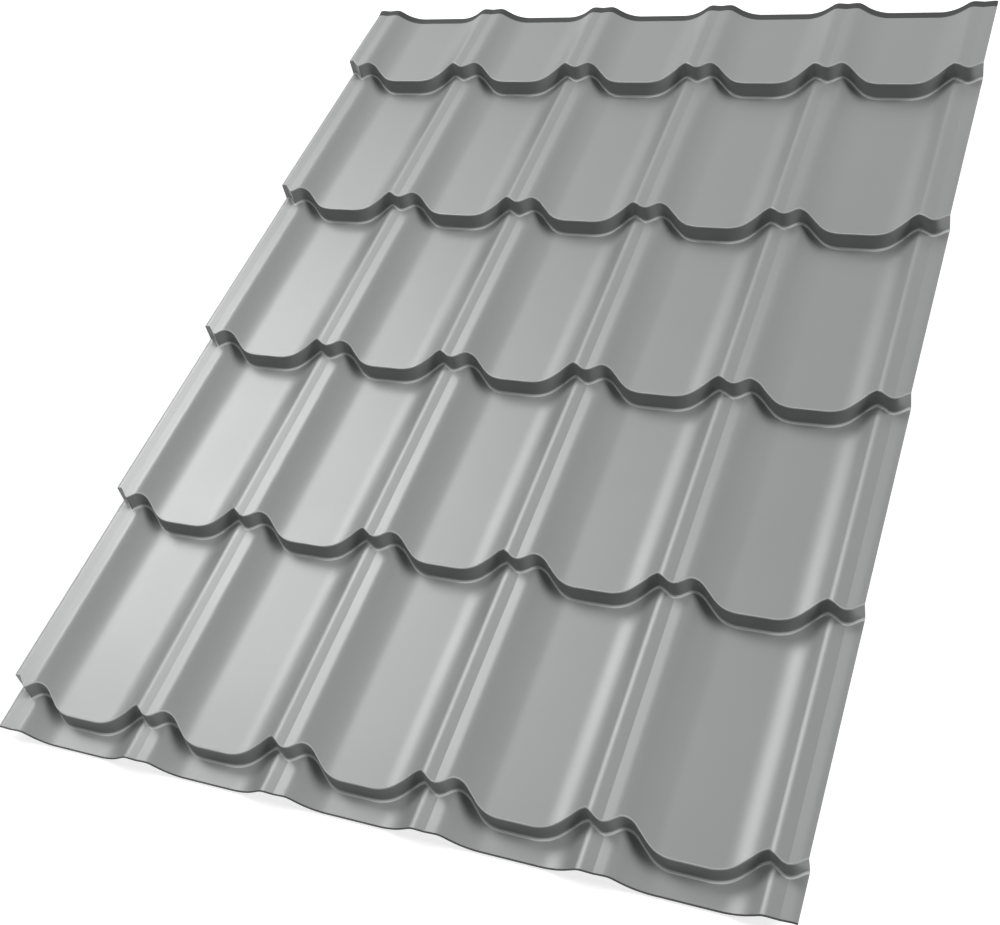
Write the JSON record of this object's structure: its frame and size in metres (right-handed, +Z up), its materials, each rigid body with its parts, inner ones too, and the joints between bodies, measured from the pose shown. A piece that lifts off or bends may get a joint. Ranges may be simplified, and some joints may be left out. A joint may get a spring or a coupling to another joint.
{
  "type": "tile effect metal roofing sheet",
  "caption": "Stepped and waved painted steel roofing sheet that imitates rows of roof tiles, with a grooved crest on each wave and a turned up strip along its upper edge.",
  "frame": {"origin": "centre of the sheet's bounding box, on the floor that it lies on", "axes": "+X across the waves, +Y up the slope along the sheet, +Z up out of the weather side"},
  "size_m": [1.1936, 1.648, 0.0495],
  "materials": {
    "painted_steel": "semi-matt grey coating on galvanised steel"
  },
  "bodies": {
    "root": {"sheet": "painted_steel"}
  },
  "joints": []
}
